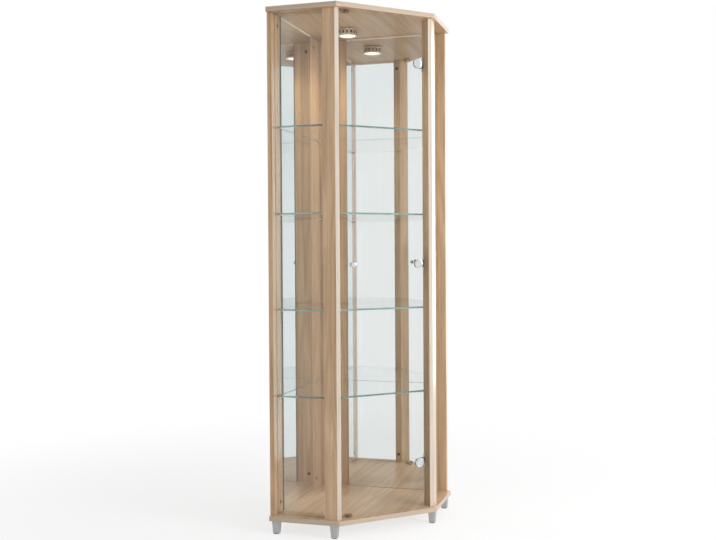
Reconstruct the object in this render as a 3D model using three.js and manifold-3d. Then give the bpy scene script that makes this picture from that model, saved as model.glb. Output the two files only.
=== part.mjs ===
// Corner curio cabinet: two mirrored walls, two glazed short sides and a frameless glass door.
// Millimetres, +Z up, the door faces -Y, and the wall corner points to +Y.
// The origin is the middle of the floor rectangle that the cabinet covers.

import * as THREE from 'three';
import { mergeVertices } from 'three/addons/utils/BufferGeometryUtils.js';
import Module from 'manifold-3d';

const wasm = await Module();
wasm.setup();

// Carcass
const totalHeight = 1767;
const wallSide = 516;
const shortSide = 248;
const boardThick = 16;
const fit = 0.3;
const overrun = 2;

// Wall boards, set in a little from the outer corners of the base
const wallThick = 16;
const wallInset = 12;

// Wrapped posts at the two front corners
const postInset = 12;
const postSetback = 15.5;
const postFrontFace = 15;
const postDoorFace = 41;
const postSideFace = 44;

// Mirrors on the wall boards, and side panes let into grooves
const mirrorThick = 4;
const mirrorFromPane = 47;
const mirrorFromCorner = 126;
const mirrorEndGap = 0.5;
const paneThick = 5;
const paneInset = 40;
const paneGroove = 7;
const boardGroove = 6;
const grooveSlack = 1;

// Glass door
const doorThick = 5;
const doorSetback = 14;
const doorSideGap = 4.1;
const doorEndGap = 3;

// Hinges: an arm on the post, a cup on the glass with its pin, and a cap outside
const hingeFromEnd = 152;
const hingeHoleRadius = 13;
const axisFromEdge = 10.5;
const axisBehindGlass = 3.5;
const barrelRadius = 2.9;
const barrelHalf = 5.7;
const pinRadius = 1.5;
const pinBoreRadius = 1.6;
const knuckleHigh = 6;
const armThick = 2.5;
const armWidth = 24;
const armOverAxis = 0.5;
const plateThick = 2;
const plateHigh = 46;
const plateFront = 7.5;
const plateEdge = 0.5;
const plateScrewRise = 17;
const plateScrewHole = 1.9;
const cupFromAxis = 18.6;
const cupRadius = 14.5;
const cupThick = 4.5;
const bossRadius = 12.4;
const lugLong = 10;
const capRadius = 16;
const capThick = 3.2;
const capRim = 1.8;
const capStudRadius = 4;
const capStudLong = 5;

// Turned knob and its screw
const knobFromEdge = 47;
const knobFootRadius = 8;
const knobFootHigh = 2.5;
const knobNeckRadius = 4.5;
const knobNeckRise = 5;
const knobHeadRadius = 11;
const knobHeadHalf = 7;
const knobLong = 23;
const knobHoleRadius = 3;
const knobScrewRadius = 2;
const knobScrewHeadRadius = 5;
const knobScrewHeadHigh = 2;
const knobScrewDeep = 9;

// Magnetic catches and the strikes folded round the edges of the glass
const catchFromEdge = 33;
const catchLong = 36;
const catchDeep = 13;
const catchHigh = 10;
const catchEarLong = 8;
const catchEarHigh = 3;
const catchEarBack = 3;
const poleLong = 14;
const poleThick = 1.6;
const poleRise = 2.5;
const poleGroove = 0.8;
const strikeLong = 14;
const strikeThick = 0.8;
const strikeHigh = 8;

// Shelves and their pegs
const shelfThick = 6;
const shelfHeightShares = [0.2355, 0.4095, 0.602, 0.776];
const shelfMirrorGap = 2;
const shelfPaneGap = 8;
const shelfFrontSetback = 64;
const pegRadius = 2.5;
const pegBoreRadius = 2.7;
const pegDeep = 8;
const pegCollarThick = 1.5;
const pegCollarHalf = 4.5;
const tongueLong = 14;
const tongueWide = 9;
const tongueThick = 2;
const pegFromCorner = 38;
const pegFromPane = 22;
const pegFromPostEnd = 12;

// Feet
const footHeight = 45;
const footTopWide = 27;
const footBottomWide = 21;
const footInset = 20;
const footFrontSetback = 30;
const footCornerInset = 34;

// Spotlight under the top board
const lightBehindMiddle = 13;
const lightRadius = 35;
const lightHigh = 26;
const lightWall = 1.6;
const lightRoof = 2;
const lightShoulder = 4;
const ringHigh = 3;
const ringWide = 6;
const lensThick = 2.5;
const lightBoardThick = 1.6;

// Faces on round pieces
const roundFaces = 28;
const smallFaces = 16;
const curveSteps = 8;

// Heights and the corners of the plan
const baseTop = footHeight + boardThick;
const ceiling = totalHeight - boardThick;
const halfWidth = wallSide / Math.SQRT2;
const halfDepth = (wallSide + shortSide) / Math.SQRT2 / 2;
const sideStart = halfDepth - halfWidth;
const frontY = -halfDepth;
const sides = { left: 1, right: -1 };

// Plan axes of the left wall: u runs in from the wall, v runs back from the outer corner
function plan(u, v, side = 1) {
  const x = (u + v) / Math.SQRT2 - halfWidth;
  return new THREE.Vector2(side * x, (v - u) / Math.SQRT2 + sideStart);
}

// Corners of a post, in the same plan axes
const postFrontY = frontY + postSetback;
const postTipU = postInset - (postFrontY - sideStart) * Math.SQRT2;
const postEndU = postTipU - postSideFace;
const postFaceU = postTipU + postFrontFace / Math.SQRT2;
const postFaceV = postInset + postFrontFace / Math.SQRT2;
const postBackU = postFaceU - postDoorFace / Math.SQRT2;
const postBackV = postFaceV + postDoorFace / Math.SQRT2;
const doorwayHalf = -plan(postFaceU, postFaceV).x;
const postBackY = plan(postBackU, postBackV).y;

// Side pane and mirror places
const paneEnd = paneInset + paneThick;
const mirrorBack = wallThick + fit;
const mirrorFace = mirrorBack + mirrorThick;
const mirrorStart = paneEnd + mirrorFromPane;
const mirrorEnd = wallSide - mirrorFromCorner;

// Door, its hinge axis and its hinge heights
const doorHalf = doorwayHalf - doorSideGap;
const doorFront = postFrontY + doorSetback;
const doorBack = doorFront + doorThick;
const doorLow = baseTop + doorEndGap;
const doorHigh = ceiling - doorEndGap;
const axisX = doorHalf - axisFromEdge;
const axisY = doorBack + axisBehindGlass;
const cupX = axisX - cupFromAxis;
const knobX = knobFromEdge - doorHalf;
const hingeHeights = {
  bottom: doorLow + hingeFromEnd,
  middle: (doorLow + doorHigh) / 2,
  top: doorHigh - hingeFromEnd,
};

const wood = { color: 0xb79a7b, roughness: 0.55, metalness: 0 };
const edging = { color: 0xc8b498, roughness: 0.5, metalness: 0 };
const clearGlass = { color: 0xdcebe6, roughness: 0.03, metalness: 0, transparent: true, opacity: 0.25 };
const silvered = { color: 0xe6ecee, roughness: 0.02, metalness: 1 };
const chrome = { color: 0xd5d8da, roughness: 0.12, metalness: 1 };
const steel = { color: 0xa8abad, roughness: 0.35, metalness: 1 };
const satin = { color: 0xa9a7a4, roughness: 0.42, metalness: 0.8 };
const greyPlastic = { color: 0x8f8f8c, roughness: 0.5, metalness: 0 };
const litLens = { color: 0xfff1d2, roughness: 0.4, metalness: 0, emissive: 0xffe2ad };

const cabinet = new THREE.Group();

function addMesh(name, geometry, look, place = [0, 0, 0], turn = 0) {
  const mesh = new THREE.Mesh(geometry, new THREE.MeshStandardMaterial(look));
  mesh.name = name;
  mesh.position.set(...place);
  mesh.rotation.z = turn;
  cabinet.add(mesh);
}

// Joins and cuts between closed geometries
function toSolid(geometry) {
  const bare = geometry.clone();
  bare.deleteAttribute('normal');
  bare.deleteAttribute('uv');
  const merged = mergeVertices(bare);
  const mesh = new wasm.Mesh({
    numProp: 3,
    vertProperties: new Float32Array(merged.attributes.position.array),
    triVerts: new Uint32Array(merged.index.array),
  });
  return new wasm.Manifold(mesh);
}

function toGeometry(solid) {
  const mesh = solid.getMesh();
  const geometry = new THREE.BufferGeometry();
  geometry.setAttribute('position', new THREE.BufferAttribute(mesh.vertProperties, 3));
  geometry.setIndex(new THREE.BufferAttribute(mesh.triVerts, 1));
  geometry.computeVertexNormals();
  return geometry;
}

function cut(geometry, tools) {
  let solid = toSolid(geometry);
  for (const tool of tools) solid = solid.subtract(toSolid(tool));
  return toGeometry(solid);
}

function join(geometries) {
  let solid = toSolid(geometries[0]);
  for (const other of geometries.slice(1)) solid = solid.add(toSolid(other));
  return toGeometry(solid);
}

// Upright prism over a plan outline
function prism(outline, low, high) {
  const settings = { depth: high - low, bevelEnabled: false };
  return new THREE.ExtrudeGeometry(new THREE.Shape(outline), settings).translate(0, 0, low);
}

// Upright prism over a rectangle of the plan axes
function planBlock([u0, u1], [v0, v1], [low, high], side) {
  const outline = [plan(u0, v0, side), plan(u1, v0, side), plan(u1, v1, side), plan(u0, v1, side)];
  return prism(outline, low, high);
}

function block([x0, x1], [y0, y1], [z0, z1]) {
  const shape = new THREE.BoxGeometry(x1 - x0, y1 - y0, z1 - z0);
  return shape.translate((x0 + x1) / 2, (y0 + y1) / 2, (z0 + z1) / 2);
}

// Round bar centred on a point and lying along one axis
function rod(radius, length, axis, centre = [0, 0, 0], faces = smallFaces) {
  const shape = new THREE.CylinderGeometry(radius, radius, length, faces);
  if (axis === 'x') shape.rotateZ(Math.PI / 2);
  if (axis === 'z') shape.rotateX(Math.PI / 2);
  return shape.translate(...centre);
}

// Revolved piece from [radius, height] points, its axis along Y
function turned(points, faces = roundFaces) {
  return new THREE.LatheGeometry(points.map(([r, h]) => new THREE.Vector2(r, h)), faces);
}

// Groove for a side pane, in whatever stands between these heights
function paneSlot(side, heights) {
  const along = [wallThick - paneGroove, postEndU + paneGroove];
  return planBlock(along, [paneInset - fit, paneEnd + fit], heights, side);
}

// Where the pegs of a shelf stand: the face point, and the level angle of the peg from +X
const inward = { wall: -Math.PI / 4, post: Math.PI / 4 };

function pegPlaces(name) {
  const side = sides[name];
  const turnOf = (part) => (side > 0 ? inward[part] : Math.PI - inward[part]);
  const place = (part, spot, u, v) => ({ part, spot, face: plan(u, v, side), turn: turnOf(part) });
  const places = [
    place('wall', 'side', wallThick, paneEnd + pegFromPane),
    place('post', 'front', postEndU + pegFromPostEnd, postBackV),
  ];
  if (name === 'left') places.push(place('wall', 'corner', wallThick, wallSide - pegFromCorner));
  return places;
}

const shelfBottoms = shelfHeightShares.map((share) => baseTop + share * (ceiling - baseTop) - shelfThick / 2);
const pegHeights = shelfBottoms.map((bottom) => bottom - fit - tongueThick / 2);

function pegBores(part, name) {
  const long = pegDeep + fit + overrun;
  const bores = [];
  for (const place of pegPlaces(name).filter((peg) => peg.part === part)) {
    for (const height of pegHeights) {
      const bore = rod(pegBoreRadius, long, 'x', [overrun - long / 2, 0, 0]);
      bores.push(bore.rotateZ(place.turn).translate(place.face.x, place.face.y, height));
    }
  }
  return bores;
}

// Top and base boards: the same five-sided board, grooved on its inner face
function addBoards() {
  const outline = [
    new THREE.Vector2(0, halfDepth),
    plan(0, 0),
    plan(shortSide, 0),
    plan(shortSide, 0, -1),
    plan(0, 0, -1),
  ];
  const low = [baseTop - boardGroove, baseTop + overrun];
  const high = [ceiling - overrun, ceiling + boardGroove];
  const baseSlots = Object.values(sides).map((side) => paneSlot(side, low));
  const topSlots = Object.values(sides).map((side) => paneSlot(side, high));
  addMesh('base_board', cut(prism(outline, footHeight, baseTop), baseSlots), edging);
  addMesh('top_board', cut(prism(outline, ceiling, totalHeight), topSlots), edging);
}

// Wall boards. The right one butts against the left one in the corner.
function addWalls() {
  for (const [name, side] of Object.entries(sides)) {
    const butt = name === 'right' ? wallThick + fit : 0;
    const wall = planBlock([0, wallThick], [wallInset, wallSide - butt], [baseTop, ceiling], side);
    const cuts = [paneSlot(side, [baseTop - overrun, ceiling + overrun]), ...pegBores('wall', name)];
    addMesh(`wall_board_${name}`, cut(wall, cuts), wood);
    const across = [mirrorStart, mirrorEnd];
    const heights = [baseTop + mirrorEndGap, ceiling - mirrorEndGap];
    addMesh(`mirror_${name}`, planBlock([mirrorBack, mirrorFace], across, heights, side), silvered);
  }
}

// Five-sided front posts, grooved behind for the side panes
function addPosts() {
  for (const [name, side] of Object.entries(sides)) {
    const outline = [
      plan(postEndU, postInset, side),
      plan(postTipU, postInset, side),
      plan(postFaceU, postFaceV, side),
      plan(postBackU, postBackV, side),
      plan(postEndU, postBackV, side),
    ];
    const cuts = [paneSlot(side, [baseTop - overrun, ceiling + overrun]), ...pegBores('post', name)];
    addMesh(`front_post_${name}`, cut(prism(outline, baseTop, ceiling), cuts), edging);
  }
}

function addSidePanes() {
  const along = [wallThick - paneGroove + grooveSlack, postEndU + paneGroove - grooveSlack];
  const heights = [baseTop - boardGroove + grooveSlack, ceiling + boardGroove - grooveSlack];
  for (const [name, side] of Object.entries(sides)) {
    addMesh(`side_glass_${name}`, planBlock(along, [paneInset, paneEnd], heights, side), clearGlass);
  }
}

// One peg along +X: a pin in its bore, a collar on the face and a flat tongue below the glass
function pegShape() {
  return join([
    rod(pegRadius, pegDeep + fit + overrun / 2, 'x', [(fit + overrun / 2 - pegDeep) / 2, 0, 0]),
    block([fit, fit + pegCollarThick], [-pegCollarHalf, pegCollarHalf], [-pegCollarHalf, tongueThick / 2]),
    block([fit, tongueLong], [-tongueWide / 2, tongueWide / 2], [-tongueThick / 2, tongueThick / 2]),
  ]);
}

// Glass shelves, cut to the plan of the inside, with five pegs under each
function addShelves() {
  const wallU = mirrorFace + shelfMirrorGap;
  const paneV = paneEnd + shelfPaneGap;
  const front = frontY + shelfFrontSetback;
  const frontU = paneV - (front - sideStart) * Math.SQRT2;
  const outline = [
    new THREE.Vector2(0, halfDepth - wallU * Math.SQRT2),
    plan(wallU, paneV),
    plan(frontU, paneV),
    plan(frontU, paneV, -1),
    plan(wallU, paneV, -1),
  ];
  const peg = pegShape();
  shelfBottoms.forEach((bottom, index) => {
    const number = index + 1;
    addMesh(`shelf_${number}`, prism(outline, bottom, bottom + shelfThick), clearGlass);
    for (const name of Object.keys(sides)) {
      for (const { spot, face, turn } of pegPlaces(name)) {
        const place = [face.x, face.y, pegHeights[index]];
        addMesh(`shelf_${number}_peg_${spot}_${name}`, peg.clone(), chrome, place, turn);
      }
    }
  });
}

// Frameless pane, drilled for three hinges and the knob
function addDoorGlass() {
  const through = doorThick + 2 * overrun;
  const middle = (doorFront + doorBack) / 2;
  const holes = Object.values(hingeHeights).map((height) => (
    rod(hingeHoleRadius, through, 'y', [cupX, middle, height], roundFaces)));
  holes.push(rod(knobHoleRadius, through, 'y', [knobX, middle, hingeHeights.middle]));
  const pane = block([-doorHalf, doorHalf], [doorFront, doorBack], [doorLow, doorHigh]);
  addMesh('door_glass', cut(pane, holes), clearGlass);
}

// Cranked hinge arm about the pin axis: plate on the post, web behind the glass, and the barrel
function hingeArm() {
  const plateOut = doorwayHalf - axisX - fit;
  const back = postBackY - axisY - plateEdge;
  const left = armOverAxis - armThick;
  const solid = join([
    block([plateOut - plateThick, plateOut], [plateFront, back], [-plateHigh / 2, plateHigh / 2]),
    block([left, plateOut], [back - armThick, back], [-armWidth / 2, armWidth / 2]),
    block([left, armOverAxis], [0, back], [-barrelHalf, barrelHalf]),
    rod(barrelRadius, 2 * barrelHalf, 'z'),
  ]);
  const screwY = (plateFront + back) / 2;
  const bores = [rod(pinBoreRadius, 2 * (barrelHalf + overrun), 'z')];
  for (const rise of [-plateScrewRise, plateScrewRise]) {
    const centre = [plateOut - plateThick / 2, screwY, rise];
    bores.push(rod(plateScrewHole, plateThick + 2 * overrun, 'x', centre));
  }
  return cut(solid, bores);
}

// Hinge cup about the same axis: a disc behind the glass, a boss in its hole, two knuckles and the pin
function hingeCup() {
  const knuckleLow = barrelHalf + fit;
  const glassBack = -axisBehindGlass;
  const glassFront = glassBack - doorThick;
  const discFront = glassBack + fit;
  const discBack = discFront + cupThick;
  const discMiddle = (discFront + discBack) / 2;
  const bossLong = discMiddle - glassFront;
  const pieces = [
    rod(cupRadius, cupThick, 'y', [-cupFromAxis, discMiddle, 0], roundFaces),
    rod(bossRadius, bossLong, 'y', [-cupFromAxis, discMiddle - bossLong / 2, 0], roundFaces),
    rod(pinRadius, 2 * (knuckleLow + knuckleHigh), 'z'),
  ];
  for (const way of [-1, 1]) {
    const middle = way * (knuckleLow + knuckleHigh / 2);
    const heights = [middle - knuckleHigh / 2, middle + knuckleHigh / 2];
    pieces.push(rod(barrelRadius, knuckleHigh, 'z', [0, 0, middle]));
    pieces.push(block([-lugLong, 0], [discFront, discBack], heights));
  }
  const socket = capStudLong + overrun;
  const centre = [-cupFromAxis, glassFront - overrun + socket / 2, 0];
  return cut(join(pieces), [rod(capStudRadius + fit, socket, 'y', centre, roundFaces)]);
}

// Domed cap outside the glass, with a stud into the cup
function hingeCap() {
  const dome = [];
  for (let step = 0; step < curveSteps; step += 1) {
    const turn = (step / curveSteps) * Math.PI / 2;
    dome.push([capRadius * Math.cos(turn), capRim + (capThick - capRim) * Math.sin(turn)]);
  }
  const stud = 2 * fit - capStudLong;
  const back = [[0, stud], [capStudRadius, stud], [capStudRadius, 0], [capRadius, 0]];
  return turned([...back, ...dome, [0, capThick]]).rotateX(Math.PI);
}

function addHinges() {
  for (const [name, height] of Object.entries(hingeHeights)) {
    addMesh(`hinge_arm_${name}`, hingeArm(), chrome, [axisX, axisY, height]);
    addMesh(`hinge_cup_${name}`, hingeCup(), chrome, [axisX, axisY, height]);
    addMesh(`hinge_cap_${name}`, hingeCap(), chrome, [cupX, doorFront - fit, height]);
  }
}

// Turned knob: a foot on the glass, a neck and a rounded head, bored behind for its screw
function addKnob() {
  const headMiddle = knobLong - knobHeadHalf;
  const start = -Math.PI / 3;
  const head = [];
  for (let step = 0; step < curveSteps; step += 1) {
    const turn = start + (step / curveSteps) * (Math.PI / 2 - start);
    head.push([knobHeadRadius * Math.cos(turn), headMiddle + knobHeadHalf * Math.sin(turn)]);
  }
  const bore = knobScrewRadius + fit;
  const height = hingeHeights.middle;
  const profile = [[0, knobScrewDeep], [bore, knobScrewDeep], [bore, 0], [knobFootRadius, 0],
    [knobFootRadius, knobFootHigh], [knobNeckRadius, knobNeckRise], ...head, [0, knobLong]];
  const knob = turned(profile).rotateX(Math.PI);
  addMesh('door_knob', knob, chrome, [knobX, doorFront - fit, height]);
  const shank = doorThick + fit + knobScrewDeep;
  const screw = [[0, -shank], [knobScrewRadius, -shank], [knobScrewRadius, 0],
    [knobScrewHeadRadius, 0], [knobScrewHeadRadius, knobScrewHeadHigh], [0, knobScrewHeadHigh]];
  addMesh('knob_screw', turned(screw, smallFaces), steel, [knobX, doorBack + fit, height]);
}

// Magnetic catches on the boards, each facing a strike on the edge of the glass
function addCatches() {
  const strikeBack = doorBack + fit + strikeThick;
  const strikeFront = doorFront - fit - strikeThick;
  const catchFace = strikeBack + fit;
  const catchBack = catchFace + catchDeep;
  const middle = catchFromEdge - doorHalf;
  const around = (half) => [middle - half, middle + half];
  const ends = [['bottom', baseTop, doorLow, 1], ['top', ceiling, doorHigh, -1]];
  for (const [name, seat, edge, way] of ends) {
    const rise = (from, to) => [seat + way * from, seat + way * to].sort((a, b) => a - b);
    const over = (from, to) => [edge + way * from, edge + way * to].sort((a, b) => a - b);
    const housing = join([
      block(around(catchLong / 2 - catchEarLong), [catchFace, catchBack], rise(0, catchHigh)),
      block(around(catchLong / 2), [catchFace + catchEarBack, catchBack], rise(0, catchEarHigh)),
    ]);
    const grooves = [];
    for (const low of [poleRise, catchHigh - poleRise - poleThick]) {
      const depth = [catchFace - overrun, catchFace + poleGroove];
      grooves.push(block(around(poleLong / 2), depth, rise(low, low + poleThick)));
    }
    addMesh(`catch_${name}`, cut(housing, grooves), greyPlastic);
    const heights = over(-fit - strikeThick, strikeHigh);
    const clip = block(around(strikeLong / 2), [strikeFront, strikeBack], heights);
    const gap = [strikeFront + strikeThick, strikeBack - strikeThick];
    const mouth = block(around(strikeLong), gap, over(-fit, strikeHigh + overrun));
    addMesh(`strike_${name}`, cut(clip, [mouth]), chrome);
  }
}

// Round puck light: a cup under the top board, a light board, a lens and its ring
function addSpotlight() {
  const inner = lightRadius - lightWall;
  const roof = lightHigh - lightRoof;
  const opening = lightRadius - ringWide;
  const boardTop = roof - fit;
  const boardLow = boardTop - lightBoardThick;
  const body = [[0, roof], [inner, roof], [inner, ringHigh], [lightRadius, ringHigh],
    [lightRadius, lightHigh - lightShoulder], [lightRadius - lightShoulder, lightHigh], [0, lightHigh]];
  const ringTop = ringHigh - fit;
  const ring = [[opening, 0], [lightRadius, 0], [lightRadius, ringTop], [opening, ringTop], [opening, 0]];
  const rim = inner - fit;
  const lens = [[0, ringHigh], [rim, ringHigh], [rim, ringHigh + lensThick], [0, ringHigh + lensThick]];
  const board = [[0, boardLow], [rim, boardLow], [rim, boardTop], [0, boardTop]];
  const place = [0, lightBehindMiddle, ceiling - lightHigh];
  const raise = (profile) => turned(profile).rotateX(Math.PI / 2);
  addMesh('spotlight_body', raise(body), chrome, place);
  addMesh('spotlight_ring', raise(ring), chrome, place);
  addMesh('spotlight_lens', raise(lens), litLens, place);
  addMesh('spotlight_board', raise(board), greyPlastic, place);
}

// Square tapered feet, turned to the walls, near the five corners
function addFeet() {
  const frontU = footInset - (frontY + footFrontSetback - sideStart) * Math.SQRT2;
  const places = { corner: new THREE.Vector2(0, halfDepth - footCornerInset) };
  for (const [name, side] of Object.entries(sides)) {
    places[`${name}_side`] = plan(footInset, footInset, side);
    places[`${name}_front`] = plan(frontU, footInset, side);
  }
  const corners = 4;
  const [topReach, bottomReach] = [footTopWide, footBottomWide].map((wide) => wide / Math.SQRT2);
  const shape = new THREE.CylinderGeometry(topReach, bottomReach, footHeight, corners);
  shape.rotateX(Math.PI / 2);
  for (const [name, { x, y }] of Object.entries(places)) {
    addMesh(`foot_${name}`, shape.clone(), satin, [x, y, footHeight / 2]);
  }
}

addBoards();
addWalls();
addPosts();
addSidePanes();
addShelves();
addDoorGlass();
addHinges();
addKnob();
addCatches();
addSpotlight();
addFeet();

export default cabinet;
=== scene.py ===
import math

import bmesh
import bpy
import numpy as np
from mathutils import Matrix, Vector


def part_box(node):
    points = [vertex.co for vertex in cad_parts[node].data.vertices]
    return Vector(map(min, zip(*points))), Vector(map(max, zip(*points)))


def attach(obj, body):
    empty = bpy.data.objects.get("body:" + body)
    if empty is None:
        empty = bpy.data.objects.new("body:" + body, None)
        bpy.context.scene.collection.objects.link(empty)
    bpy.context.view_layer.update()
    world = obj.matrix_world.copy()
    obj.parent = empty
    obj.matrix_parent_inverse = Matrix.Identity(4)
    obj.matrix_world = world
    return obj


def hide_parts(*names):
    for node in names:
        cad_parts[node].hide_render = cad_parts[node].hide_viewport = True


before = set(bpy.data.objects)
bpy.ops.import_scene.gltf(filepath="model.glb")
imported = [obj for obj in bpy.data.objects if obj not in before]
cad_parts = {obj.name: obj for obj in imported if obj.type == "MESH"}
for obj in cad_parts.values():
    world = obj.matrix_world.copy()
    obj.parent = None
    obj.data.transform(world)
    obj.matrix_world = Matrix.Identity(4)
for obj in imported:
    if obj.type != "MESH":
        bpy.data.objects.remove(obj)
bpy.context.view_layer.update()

scene = bpy.context.scene
scene.view_settings.view_transform = "Standard"


# Camera
# It stands to the left of the door, at about half the cabinet's height, and looks slightly down. Its
# place and angles were fitted to the corners of the cabinet.
camera_place = (-1.640, -3.118, 0.9417)
camera_yaw, camera_pitch, camera_roll = (math.radians(angle) for angle in (28.182, -0.951, -0.349))
photo_width_px = 716
focal_px = 976.5
sensor_wide = 36.0

forward = np.array([math.sin(camera_yaw) * math.cos(camera_pitch),
                    math.cos(camera_yaw) * math.cos(camera_pitch), math.sin(camera_pitch)])
level_right = np.array([math.cos(camera_yaw), -math.sin(camera_yaw), 0.0])
level_up = np.cross(level_right, forward)
right = level_right * math.cos(camera_roll) + level_up * math.sin(camera_roll)
up = level_up * math.cos(camera_roll) - level_right * math.sin(camera_roll)
camera_data = bpy.data.cameras.new("camera")
camera_data.sensor_width = sensor_wide
camera_data.lens = focal_px / photo_width_px * sensor_wide
camera = bpy.data.objects.new("camera", camera_data)
scene.collection.objects.link(camera)
turn = np.stack([right, up, -forward], axis=1)
camera.matrix_world = Matrix.Translation(camera_place) @ Matrix(turn.tolist()).to_4x4()
scene.camera = camera


# Floor and surroundings
# A plain white floor and room. The camera sees them white, and near the cabinet the floor still takes
# its shadow. Mirrors and glass see the room with pale cold patches that fade towards the horizon.
floor_reach = 14.0
white = (1, 1, 1, 1)
floor_color = (0.90, 0.90, 0.90, 1)
shadow_share = 0.26
shadow_reach = (0.75, 2.4)
room_light = 0.56
patch_color = (0.86, 0.91, 0.94, 1)
patch_scale = 9.0
patch_edges = (0.35, 0.65)
patch_rise = (0.0, 0.22)
nodes_in_row, node_step = 8, (200, 350)


def set_input(tree, socket, value):
    """Links a socket to another node's output, or sets it to a plain value. None leaves it alone."""
    if isinstance(value, bpy.types.NodeSocket):
        tree.links.new(value, socket)
    elif value is not None:
        socket.default_value = value


def set_inputs(tree, node, **inputs):
    """Sets a node's inputs, which are given by name or as i0, i1 and so on."""
    for key, value in inputs.items():
        numbered = key[0] == "i" and key[1:].isdigit()
        set_input(tree, node.inputs[int(key[1:]) if numbered else key.replace("_", " ")], value)


def add_node(tree, kind, **inputs):
    """Adds one shader node and sets its inputs. The nodes stand in rows, left of the tree's last one."""
    node = tree.nodes.new("ShaderNode" + kind)
    row, column = divmod(len(tree.nodes), nodes_in_row)
    node.location = (node_step[0] * (column - nodes_in_row), -node_step[1] * row)
    set_inputs(tree, node, **inputs)
    return node


def add_math(tree, operation, first, second=None, third=None):
    """Adds a math node whose inputs are links or numbers, and returns its output."""
    node = add_node(tree, "Math")
    node.operation = operation
    set_inputs(tree, node, i0=first, i1=second, i2=third)
    return node.outputs[0]


def add_range(tree, value, span, onto=(0.0, 1.0), smooth=False):
    """Maps a value from one span onto another, and clamps it there."""
    node = add_node(tree, "MapRange", i0=value, i1=span[0], i2=span[1], i3=onto[0], i4=onto[1])
    if smooth:
        node.interpolation_type = "SMOOTHSTEP"
    return node.outputs[0]


def mix_values(tree, share, first, second):
    """Mixes two values by a share. All three are links or numbers."""
    return add_node(tree, "Mix", i0=share, i2=first, i3=second).outputs[0]


def mix_colours(tree, share, first, second):
    """Mixes two linked or plain colours by a linked or plain share."""
    node = add_node(tree, "Mix")
    node.data_type = "RGBA"
    set_inputs(tree, node, i0=share, i6=first, i7=second)
    return node.outputs[2]


def mix_shaders(tree, share, first, second):
    """Mixes two shader nodes by a linked or plain share."""
    return add_node(tree, "MixShader", i0=share, i1=first.outputs[0], i2=second.outputs[0]).outputs[0]


def seen_directly(tree):
    """1 where the ray comes from the camera, a mirror or a glass, and 0 for light that falls on things."""
    path = add_node(tree, "LightPath").outputs
    either = add_math(tree, "MAXIMUM", path["Is Camera Ray"], path["Is Glossy Ray"])
    return add_math(tree, "MAXIMUM", either, path["Is Transmission Ray"])


floor_mesh = bpy.data.meshes.new("floor")
corners = [(x * floor_reach, y * floor_reach, 0) for x, y in ((-1, -1), (1, -1), (1, 1), (-1, 1))]
floor_mesh.from_pydata(corners, [], [(0, 1, 2, 3)])
floor = bpy.data.objects.new("floor", floor_mesh)
scene.collection.objects.link(floor)
floor_finish = bpy.data.materials.new("white_floor")
floor_finish.use_nodes = True
tree = floor_finish.node_tree
tree.nodes.clear()
matt = add_node(tree, "BsdfDiffuse", Color=floor_color)
glow = add_node(tree, "Emission", Color=white, Strength=1.0)
coords = add_node(tree, "TexCoord")
away = add_node(tree, "VectorMath", i0=coords.outputs["Object"])
away.operation = "LENGTH"
clear = add_range(tree, away.outputs["Value"], shadow_reach, (1 - shadow_share, 1.0), True)
share = add_math(tree, "MULTIPLY", seen_directly(tree), clear)
add_node(tree, "OutputMaterial", Surface=mix_shaders(tree, share, matt, glow))
floor_mesh.materials.append(floor_finish)

world = bpy.data.worlds.new("white_room")
scene.world = world
world.use_nodes = True
tree = world.node_tree
tree.nodes.clear()
direction = add_node(tree, "TexCoord").outputs["Generated"]
patches = add_node(tree, "TexNoise", Vector=direction, Scale=patch_scale, Detail=1.0)
patch = add_range(tree, patches.outputs["Fac"], patch_edges, smooth=True)
parts = add_node(tree, "SeparateXYZ", i0=direction)
above = add_range(tree, parts.outputs["Z"], patch_rise, smooth=True)
high_patch = add_math(tree, "MULTIPLY", patch, above)
path = add_node(tree, "LightPath")
not_camera = add_math(tree, "SUBTRACT", 1.0, path.outputs["Is Camera Ray"])
share = add_math(tree, "MULTIPLY", high_patch, not_camera)
tint = mix_colours(tree, share, white, patch_color)
light = add_node(tree, "Background", Color=white, Strength=room_light)
seen = add_node(tree, "Background", Color=tint, Strength=1.0)
surface = mix_shaders(tree, seen_directly(tree), light, seen)
add_node(tree, "OutputWorld", Surface=surface)


# Studio lamps
# A large soft lamp in front on the right lights the faces that look right and shines past the side
# pane. A weaker one farther round and a wide one behind are mirrored by chrome and wood. Weak ones
# fill the front and the left. The door mirrors none of them to the camera.
lamps = {
    "window_lamp": {"at": (1.9, -3.6, 1.8), "to": (0.0, -0.1, 0.9), "size": 1.8, "watts": 110.0},
    "key_lamp": {"at": (3.3, -1.9, 1.9), "to": (0.0, -0.1, 0.95), "size": 2.4, "watts": 34.0},
    "rim_lamp": {"at": (3.2, 1.9, 1.2), "to": (0.3, 0.0, 0.9), "size": 2.6, "watts": 45.0},
    "front_lamp": {"at": (-0.4, -4.0, 1.5), "to": (0.0, 0.0, 0.9), "size": 2.0, "watts": 14.0},
    "fill_lamp": {"at": (-3.2, -2.0, 1.5), "to": (0.0, 0.0, 0.9), "size": 2.2, "watts": 3.0},
}
mirrored_lamps = ("key_lamp", "rim_lamp")
for name, lamp in lamps.items():
    data = bpy.data.lights.new(name, "AREA")
    data.size = lamp["size"]
    data.energy = lamp["watts"]
    body = bpy.data.objects.new(name, data)
    aim = Vector(lamp["to"]) - Vector(lamp["at"])
    body.matrix_world = Matrix.Translation(lamp["at"]) @ aim.to_track_quat("-Z", "Y").to_matrix().to_4x4()
    body.visible_camera = False
    body.visible_transmission = False
    body.visible_glossy = name in mirrored_lamps
    scene.collection.objects.link(body)


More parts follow.
